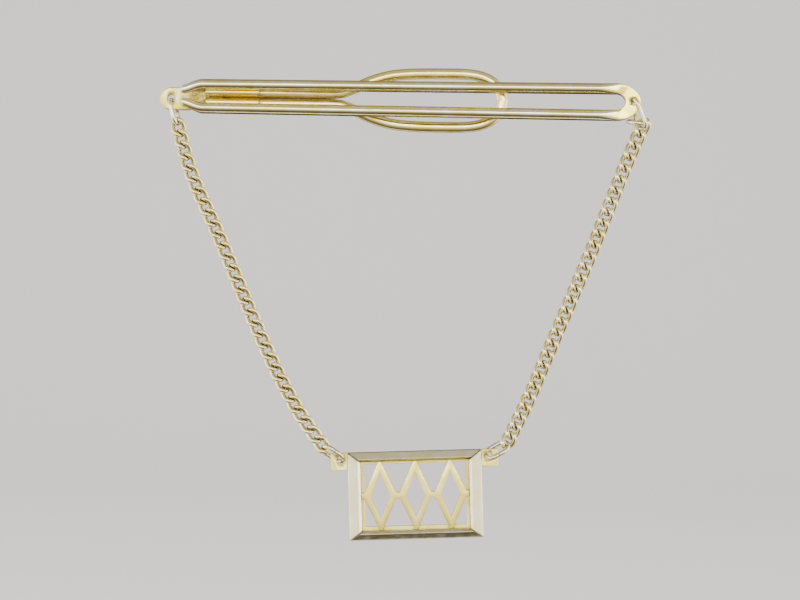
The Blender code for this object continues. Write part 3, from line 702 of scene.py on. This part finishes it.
def sleeve_outline(x, inset):
    """Once round the folded sleeve at x, from one lip of the seam to the other: (y, z,
    dirt-and-shade value), dark with painted shade in the seam and where the lips part.
    """
    slit = math.exp(-(((x - SLIT_X) / SLIT_HALF_LENGTH) ** 4))
    gap = SEAM_GAP + SLIT_GAP * slit
    middle_y, half_y = sum(SLEEVE_Y) / 2, (SLEEVE_Y[1] - SLEEVE_Y[0]) / 2
    radius = max(SLEEVE_CORNER - inset, 0.1 * MM)
    front = middle_y - half_y + inset
    straight = SLEEVE_HALF_Z - inset - radius
    half = [(front, z) for z in np.linspace(gap / 2, straight, 12)[:-1]]
    for start, side_y in ((math.pi, -1), (math.pi / 2, 1)):
        centre = (middle_y + side_y * (half_y - inset - radius), straight)
        for i in range(9):
            angle = start - math.pi / 2 * i / 8
            half.append((centre[0] + radius * math.cos(angle),
                         centre[1] + radius * math.sin(angle)))
    half += [(middle_y + half_y - inset, z) for z in np.linspace(straight, 0, 5)[1:]]
    outline = []
    for y, z in half + [(y, -z) for y, z in half[-2::-1]]:
        near_seam = math.exp(-((z / SEAM_DIP_HALF_WIDTH) ** 2)) if y < middle_y else 0.0
        lobe = min(abs(2 * abs(z) / straight - 1), 1.0) ** 2 * max(0.0, (middle_y - y) / half_y)
        dip = SEAM_DIP * near_seam + LOBE_DIP * lobe
        outline.append((y + dip, z, max(near_seam**3, slit * near_seam)))
    return outline


def make_sleeve():
    """A strip folded round the tab and the wire's legs, with its lips meeting along the front."""
    lip = SLEEVE_LIP
    stops = [(SLEEVE_X[0], lip), (SLEEVE_X[0] + lip / 3, lip / 3), (SLEEVE_X[0] + lip, 0.0)]
    stops += [(x, 0.0) for x in np.linspace(SLEEVE_X[0] + 0.3 * MM, SLEEVE_X[1] - 0.3 * MM, 40)]
    stops += [(SLEEVE_X[1] - lip, 0.0), (SLEEVE_X[1] - lip / 3, lip / 3), (SLEEVE_X[1], lip)]
    sections = []
    for x, inset in stops:
        # Painted shade in the seam, the slit and the whole inside; the ends darken too.
        end = 1 - smooth_step(min(x - SLEEVE_X[0], SLEEVE_X[1] - x), 0.0, END_DARK_LENGTH)
        outer = [(Vector((x, y, z)), max(g, 0.6 * end)) for y, z, g in sleeve_outline(x, inset)]
        inner = [(Vector((x, y, z)), 1.0) for y, z, g in sleeve_outline(x, SLEEVE_WALL - inset)]
        sections.append(outer + inner[::-1])
    sleeve = Shell().loft(sections).object("folded_sleeve", MATERIALS["sleeve_gold"], 50)
    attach(sleeve, "clip")
    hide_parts("crimp_sleeve")


def make_clip_wire():
    """One bent wire: two legs side by side that open into a loop behind the bar."""
    upper = [Vector((x * MM, 0, z * MM)) for x, z in smooth_curve(LOOP_ROUTE, 10)]
    legs = [Vector((x, 0, LEG_Z)) for x in np.linspace(LEG_START_X, LOOP_ROUTE[0][0] * MM, 30)[:-1]]
    half = legs + upper
    other_half = [Vector((p.x, 0, -p.z)) for p in half[-2::-1]]
    path = []
    for point in half + other_half:
        out = smooth_step(point.x, *LOOP_STEP_BACK)
        back = smooth_step(point.x, *LOOP_RETURN)
        point.y = LEG_Y + out * (LOOP_Y - LEG_Y) - back * LOOP_END_BACK
        point.z += out * LOOP_Z_SHIFT
        path.append(point)
    forward = [Vector((0, -1, 0))] * len(path)

    # Painted shade between the touching legs and where the wire goes into the sleeve.
    def dirt_and_shade(i, out):
        point = path[i]
        between_legs = 1 - smooth_step(abs(point.z + out.z), 0.05 * MM, 0.35 * MM)
        at_sleeve = 1 - smooth_step(point.x - SLEEVE_X[1], 0.0, 0.6 * MM)
        return max(between_legs if point.x < LEGS_PART_X else 0.0, 0.8 * at_sleeve)

    sections = wire_sections(path, forward, WIRE_WIDTH / 2, WIRE_DEPTH / 2, WIRE_SIDES, False,
                             dirt_and_shade)
    wire = Shell().loft(sections).object("clip_loop_wire", MATERIALS["wire_gold"])
    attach(wire, "clip")
    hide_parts("clip_wire")


make_eye_tab()
make_sleeve()
make_clip_wire()


# Chains and rings -------------------------------------------------------------------------------

CHAIN_WIRE = 0.53 * MM
CHAIN_HALF_DEPTH = CHAIN_WIRE * 0.46  # the links are ground slightly flat
LINK_HALF_WIDTH = 0.64 * MM
LINK_TWIST = math.radians(45)
PAIR_GAP = 0.05 * MM
LINK_SIDES = 18
RING_WIRE = 0.5 * MM
RING_SIDES = 24
RING_CUT = 0.03 * MM  # the open seam of each bent ring
LINK_ARC_STEPS = 14
RING_ARC_STEPS = 18
STRAIGHT_STEPS = 3
# turn is a ring's angle about its own length, and reach_up how far the inside of its top lies above
# its joint.
LEFT_RING = {"half_width": 0.8 * MM, "turn": math.radians(75), "reach_up": -0.14 * MM}
RIGHT_LINK = {"half_width": 0.83 * MM, "turn": math.radians(113), "reach_up": -0.1 * MM}
PENDANT_RING = {"half_width": 0.95 * MM, "turn": math.radians(-58), "reach_up": 0.0}
RIGHT_LINK_BOTTOM = Vector((28.8 * MM, HANG_Y, -2.885 * MM))
JUMP_RING_RADIUS = 1.06 * MM
JUMP_RING_CENTRE = Vector((28.2 * MM, -0.283 * MM, -2.31 * MM))
JUMP_RING_SLOPE = math.radians(6.4)
JUMP_RING_TILT = math.radians(9.6)
JUMP_RING_STEPS = 44
JUMP_RING_SEAM = 0.6  # the seam's place round the ring, in radians
LUG_SPAN = 17.44 * MM  # between the two lugs' holes
SIDE_STEP = 0.75 * MM  # how much higher the right lug's hole is than the left one's


def oval(half_length, half_width, arc_steps):
    """A race track as (along, across) pairs, starting and ending in the middle of a straight."""
    straight = half_length - half_width
    side = [(straight * t, half_width) for t in np.linspace(0, 1, STRAIGHT_STEPS + 1)[:-1]]
    arc = [(straight + half_width * math.cos(a), half_width * math.sin(a))
           for a in np.linspace(math.pi / 2, -math.pi / 2, arc_steps + 1)]
    down = [(straight * t, -half_width) for t in np.linspace(1, 0, STRAIGHT_STEPS + 1)[1:]]
    top = side + arc + down
    return top + [(-along, -across) for along, across in top[1:-1]]


def link_path(half_length, half_width, arc_steps, twist, drop):
    """A link's middle line as it hangs from the origin, with its two ends twisted opposite ways.

    Also gives the normals of its plane, for wire_sections.
    """
    path, normals = [], []
    for along, across in oval(half_length, half_width, arc_steps):
        turn = Matrix.Rotation(twist * along / half_length, 3, "Z")
        path.append(turn @ Vector((across, 0, 0)) + Vector((0, 0, -drop - along)))
        normals.append(turn @ Vector((0, -1, 0)))
    return path, normals


def hanging(top, bottom):
    """The placement that puts what hangs from the origin between two joints."""
    lean = math.atan2(top.x - bottom.x, top.z - bottom.z)
    return Matrix.Translation(top) @ Matrix.Rotation(lean, 4, "Y")


def link_dirt_and_shade(path, centre):
    """Dirt and painted shade on a link's inside, most of it where the next link bears."""
    def dirt_and_shade(i, out):
        inward = -(out.normalized()).dot((path[i] - centre).normalized())
        end = abs(path[i].z - centre.z) / LINK_HALF_WIDTH
        return smooth_step(inward, -0.1, 0.9) * (0.55 + 0.45 * smooth_step(end, 0.5, 1.3))
    return dirt_and_shade


def make_chain_pair(side, number, top, bottom):
    """The two curb links that move as one body."""
    pitch = (bottom - top).length / 2
    outer = (pitch + CHAIN_WIRE + PAIR_GAP) / 2
    inner = (pitch + CHAIN_WIRE) / 2
    half_length = (outer + inner) / 2
    shift = (outer - inner) / 2
    shell = Shell()
    for drop in (pitch / 2 - shift, 1.5 * pitch + shift):
        path, normals = link_path(half_length, LINK_HALF_WIDTH, LINK_ARC_STEPS, LINK_TWIST, drop)
        dirt_and_shade = link_dirt_and_shade(path, Vector((0, 0, -drop)))
        sections = wire_sections(path, normals, CHAIN_WIRE / 2, CHAIN_HALF_DEPTH, LINK_SIDES, True,
                                 dirt_and_shade)
        shell.loft(sections, True)
    links = shell.object(f"curb_links_{side}_{number:02}", MATERIALS["chain_gold"])
    links.data.transform(hanging(top, bottom))
    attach(links, f"{side}_chain_{number:02}")
    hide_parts(f"chain_{side}_{number:02}")


def ring_dirt_and_shade(path, centre):
    """Some dirt and painted shade on a ring's inside, and more in its seam."""
    def dirt_and_shade(i, out):
        inward = -(out.normalized()).dot((path[i] - centre).normalized())
        seam = 1 - smooth_step(min(i, len(path) - 1 - i), 0, 1.5)
        return max(0.5 * smooth_step(inward, 0.2, 1.0), seam)
    return dirt_and_shade


def open_loop(path, normals):
    """Opens a closed path at its start by the width of a seam and closes the list."""
    first = (path[1] - path[0]).normalized() * RING_CUT / 2
    last = (path[-1] - path[0]).normalized() * RING_CUT / 2
    return [path[0] + first] + path[1:] + [path[0] + last], normals + [normals[0]]


def make_ring(name, top, bottom, body, node, half_width, turn, reach_up):
    """An oval bent ring whose inside reaches from one joint to the next."""
    length = (bottom - top).length
    half_length = (length + reach_up + RING_WIRE) / 2
    drop = (length - reach_up) / 2
    path, normals = link_path(half_length, half_width, RING_ARC_STEPS, 0.0, drop)
    spin = Matrix.Rotation(turn, 3, "Z")
    path, normals = open_loop([spin @ p for p in path], [spin @ n for n in normals])
    dirt_and_shade = ring_dirt_and_shade(path, Vector((0, 0, -drop)))
    sections = wire_sections(path, normals, RING_WIRE / 2, RING_WIRE / 2, RING_SIDES, False, dirt_and_shade)
    ring = Shell().loft(sections).object(name, MATERIALS["ring_gold"])
    ring.data.transform(hanging(top, bottom))
    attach(ring, body)
    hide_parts(node)


def make_jump_ring():
    """A round ring that lies nearly level at the oval link's lower end and moves with it."""
    turn = Matrix.Rotation(JUMP_RING_SLOPE, 3, "Y") @ Matrix.Rotation(JUMP_RING_TILT, 3, "X")
    path = []
    for i in range(JUMP_RING_STEPS):
        angle = 2 * math.pi * i / JUMP_RING_STEPS + JUMP_RING_SEAM
        out = turn @ Vector((math.cos(angle), math.sin(angle), 0))
        path.append(JUMP_RING_CENTRE + out * JUMP_RING_RADIUS)
    path, normals = open_loop(path, [turn @ Vector((0, 0, 1))] * JUMP_RING_STEPS)
    dirt_and_shade = ring_dirt_and_shade(path, JUMP_RING_CENTRE)
    sections = wire_sections(path, normals, RING_WIRE / 2, RING_WIRE / 2, RING_SIDES, False, dirt_and_shade)
    ring = Shell().loft(sections).object("jump_ring", MATERIALS["ring_gold"])
    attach(ring, "right_bar_link")
    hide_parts("jump_ring_right")


def make_chains():
    left_lug = joint_place("pendant")
    right_lug = left_lug - LUG_SPAN * Vector(CHILD_JOINT["pendant"]["axis"])
    for side in ("left", "right"):
        stops = [joint_place(f"{side}_chain_{i:02}") for i in range(1, PAIRS + 1)]
        stops.append(joint_place(f"{side}_pendant_ring"))
        for i, (top, bottom) in enumerate(zip(stops, stops[1:])):
            make_chain_pair(side, i + 1, top, bottom)
        lug = left_lug if side == "left" else right_lug
        make_ring(f"pendant_ring_{side}", stops[-1], lug, f"{side}_pendant_ring",
                  f"ring_{side}_pendant", **PENDANT_RING)
    make_ring("bar_ring_left", joint_place("left_bar_link"), joint_place("left_chain_01"),
              "left_bar_link", "ring_left_bar", **LEFT_RING)
    make_ring("bar_link_right", joint_place("right_bar_link"), RIGHT_LINK_BOTTOM, "right_bar_link",
              "link_right_bar", **RIGHT_LINK)
    make_jump_ring()


make_chains()


# Pendant ----------------------------------------------------------------------------------------

PENDANT_TURN = math.asin(SIDE_STEP / LUG_SPAN)
PENDANT_WIDTH = 15.8 * MM
PENDANT_HEIGHT = 10.4 * MM
PENDANT_CENTRE = Vector((2.47 * MM, HANG_Y, -46.85 * MM))
PLACE_PENDANT = Matrix.Translation(PENDANT_CENTRE) @ Matrix.Rotation(-PENDANT_TURN, 4, "Y")
CLEARANCE = 0.025 * MM
PLATE_EDGE = 0.05 * MM
BEZEL_EDGE = 0.05 * MM
BACK_INSET = 0.08 * MM
LUG_CORNER = 0.14 * MM
# How dark a lug's side walls are painted, as painted shade.
LUG_SIDE_SHADE = 0.3
WELD_DISTANCE = 0.001 * MM
BEZEL_WIDTH_TOP = 1.12 * MM  # of the top and bottom strips
BEZEL_WIDTH_SIDE = 1.5 * MM
BEZEL_BACK = 0.3 * MM
# A strip's corners as the share of its width from its outer side, and the depth in mm.
BEZEL_PROFILE = [(0.0, 0.3), (0.0, -0.45), (0.7, -1.05), (1.0, -0.7), (1.0, 0.3)]
LUG_WIDTH = 1.95 * MM
LUG_HEIGHT = 2.07 * MM
LUG_DEPTH = 0.48 * MM
LUG_HOLE = (LUG_SPAN / 2, 4.3 * MM)
LUG_HOLE_DIAMETER = 1.02 * MM
LEDGE = 0.38 * MM
BACK_FRAME_DEPTH = 0.42 * MM
ORNAMENT_DEPTH = 0.66 * MM
STROKE = 0.74 * MM
LOZENGE_PITCH = 4.16 * MM
LOZENGE_HALF_WIDTH = 2.0 * MM
LOZENGE_HALF_HEIGHT = 4.5 * MM


def rounded_profile(corners, radius, steps=3):
    """A closed outline in metres from corners in mm, which it rounds.

    A long side gets two more points between its ends.
    """
    points = []
    corners = [Vector(corner) * MM for corner in corners]
    neighbours = zip(corners[-1:] + corners[:-1], corners, corners[1:] + corners[:1])
    for before, corner, after in neighbours:
        start = corner + (before - corner).normalized() * radius
        end = corner + (after - corner).normalized() * radius
        for i in range(steps + 1):
            t = i / steps
            points.append(start * (1 - t) ** 2 + corner * 2 * t * (1 - t) + end * t**2)
    out = []
    for a, b in zip(points, points[1:] + points[:1]):
        out += [a, a.lerp(b, 1 / 3), a.lerp(b, 2 / 3)] if (b - a).length > 4 * radius else [a]
    return out


def make_bezel_strip(side, length, offset, degrees, width, next_width):
    """One mitred strip with broken ends, made with its outer side up and turned into place."""
    corners = [(share * width / MM, depth) for share, depth in BEZEL_PROFILE]
    profile = rounded_profile(corners, BEZEL_EDGE)
    centre = sum(profile, Vector((0, 0))) / len(profile)
    stops = [(0.0, BEZEL_EDGE), (BEZEL_EDGE, 0.0), (0.25 * MM, 0.0)]
    sections = []
    for end, order in ((-1, stops), (1, stops[::-1])):
        for along, shrink in order:
            section = []
            for point in profile:
                spot = point - (point - centre).normalized() * shrink
                x = end * (length / 2 - spot.x * next_width / width - CLEARANCE - along)
                # Dirt and painted shade lie along the inner edge and in the mitres.
                edge = smooth_step(spot.x, width - 0.1 * MM, width) * 0.8
                mitre = 1 - smooth_step(along, 0.0, 0.2 * MM)
                section.append((Vector((x, spot.y, -spot.x)), max(edge, mitre)))
            sections.append(section)
    material = MATERIALS[f"bezel_gold_{side}"]
    strip = Shell().loft(sections).object(f"bezel_strip_{side}", material, 35)
    place = Matrix.Rotation(math.radians(degrees), 4, "Y") @ Matrix.Translation((0, 0, offset))
    finish_pendant_piece(strip, f"bezel_{side}", place)


def finish_pendant_piece(piece, node, place=Matrix.Identity(4)):
    piece.data.transform(PLACE_PENDANT @ place)
    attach(piece, "pendant")
    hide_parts(node)


def make_lug(side_name, side):
    """A small drilled plate beside the bezel; side is -1 on the left and 1 on the right."""
    low_x = PENDANT_WIDTH / 2 + CLEARANCE
    high_z = PENDANT_HEIGHT / 2
    corners = [(low_x, high_z - LUG_HEIGHT), (low_x + LUG_WIDTH, high_z - LUG_HEIGHT),
               (low_x + LUG_WIDTH, high_z), (low_x, high_z)]
    outline = rounded_profile([(x / MM, z / MM) for x, z in corners], LUG_CORNER, 4)
    middle = Vector((low_x + LUG_WIDTH / 2, high_z - LUG_HEIGHT / 2))
    full = LUG_DEPTH / 2 - PLATE_EDGE
    stops = [(-LUG_DEPTH / 2, PLATE_EDGE), (-full, 0.0), (full, 0.0), (LUG_DEPTH / 2, PLATE_EDGE)]
    sections = []
    for depth, inset in stops:
        # Painted shade on the side walls; the front and back faces stay bright.
        dirt_and_shade = LUG_SIDE_SHADE if inset == 0.0 else 0.0
        ring = []
        for point in outline:
            spot = point - (point - middle).normalized() * inset
            ring.append((Vector((side * spot.x, depth, spot.y)), dirt_and_shade))
        sections.append(ring)
    lug = Shell().loft(sections).object(f"lug_plate_{side_name}", MATERIALS["plate_gold"], 35)
    hole = (side * LUG_HOLE[0], LUG_HOLE[1])
    cut(lug, hole_cutter(hole, LUG_HOLE_DIAMETER, -LUG_DEPTH / 2, LUG_DEPTH / 2, PLATE_EDGE))
    finish_pendant_piece(lug, f"lug_{side_name}")


def flat_piece(name, outlines, near_y, far_y, edge, material):
    """A pierced plate with rounded edges. The first outline is its own and the others are holes."""
    data = bpy.data.curves.new(name, "CURVE")
    data.dimensions = "2D"
    data.fill_mode = "BOTH"
    data.bevel_depth = edge
    data.bevel_resolution = 2
    data.offset = -edge
    data.extrude = (far_y - near_y) / 2 - edge
    for outline in outlines:
        spline = data.splines.new("POLY")
        spline.points.add(len(outline) - 1)
        for point, (x, z) in zip(spline.points, outline):
            point.co = (x, z, 0, 1)
        spline.use_cyclic_u = True
    curve = bpy.data.objects.new(name, data)
    bpy.context.scene.collection.objects.link(curve)
    depsgraph = bpy.context.evaluated_depsgraph_get()
    mesh = bpy.data.meshes.new_from_object(curve.evaluated_get(depsgraph))
    bpy.data.objects.remove(curve)
    upright = Matrix.Rotation(math.pi / 2, 4, "X")
    mesh.transform(Matrix.Translation((0, (near_y + far_y) / 2, 0)) @ upright)
    bm = bmesh.new()
    bm.from_mesh(mesh)
    bmesh.ops.remove_doubles(bm, verts=bm.verts, dist=WELD_DISTANCE)
    dirt_and_shade = bm.verts.layers.float.new("dirt_and_shade")
    for vert in bm.verts:
        # Painted shade: the sides and the back darken away from the front face.
        vert[dirt_and_shade] = smooth_step(vert.co.y, near_y + edge * 0.5, near_y + 3 * edge)
    bm.to_mesh(mesh)
    bm.free()
    mesh.materials.clear()
    mesh.materials.append(material)
    mesh.shade_smooth()
    mesh.set_sharp_from_angle(angle=math.radians(35))
    obj = bpy.data.objects.new(name, mesh)
    bpy.context.scene.collection.objects.link(obj)
    return obj


def rectangle(half_x, half_z):
    return [(-half_x, -half_z), (half_x, -half_z), (half_x, half_z), (-half_x, half_z)]


def ornament_outlines(half_x, half_z):
    """Three lozenges side by side, cut off at top and bottom and joined by a bar at mid-height."""
    across, up, bar = LOZENGE_HALF_WIDTH, LOZENGE_HALF_HEIGHT, STROKE / 2
    at_bar, at_top = across * (1 - bar / up), across * (1 - half_z / up)
    centres = [step * LOZENGE_PITCH for step in (-1, 0, 1)]
    top = [(-half_x, bar)]
    for centre in centres:
        top += [(centre - at_bar, bar), (centre - at_top, half_z),
                (centre + at_top, half_z), (centre + at_bar, bar)]
    top.append((half_x, bar))
    outline = top + [(x, -z) for x, z in reversed(top)]
    inner_across = across - STROKE * math.hypot(across, up) / up
    inner_up = up * inner_across / across
    holes = [[(c - inner_across, 0), (c, -inner_up), (c + inner_across, 0), (c, inner_up)]
             for c in centres]
    return [outline] + holes


def make_pendant():
    widths = (BEZEL_WIDTH_TOP, BEZEL_WIDTH_SIDE)
    make_bezel_strip("top", PENDANT_WIDTH, PENDANT_HEIGHT / 2, 0, *widths)
    make_bezel_strip("right", PENDANT_HEIGHT, PENDANT_WIDTH / 2, 90, *widths[::-1])
    make_bezel_strip("bottom", PENDANT_WIDTH, PENDANT_HEIGHT / 2, 180, *widths)
    make_bezel_strip("left", PENDANT_HEIGHT, PENDANT_WIDTH / 2, 270, *widths[::-1])
    make_lug("left", -1)
    make_lug("right", 1)
    opening_x = PENDANT_WIDTH / 2 - BEZEL_WIDTH_SIDE
    opening_z = PENDANT_HEIGHT / 2 - BEZEL_WIDTH_TOP
    near = BEZEL_BACK + CLEARANCE
    outlines = [rectangle(PENDANT_WIDTH / 2 - BACK_INSET, PENDANT_HEIGHT / 2 - BACK_INSET),
                rectangle(opening_x - LEDGE, opening_z - LEDGE)]
    plate = flat_piece("back_plate", outlines, near, near + BACK_FRAME_DEPTH, PLATE_EDGE,
                       MATERIALS["plate_gold"])
    finish_pendant_piece(plate, "back_frame")
    outlines = ornament_outlines(opening_x - CLEARANCE, opening_z - CLEARANCE)
    ornament = flat_piece("openwork_lozenges", outlines, BEZEL_BACK - ORNAMENT_DEPTH, BEZEL_BACK,
                          PLATE_EDGE, MATERIALS["ornament_gold"])
    finish_pendant_piece(ornament, "openwork_insert")


make_pendant()
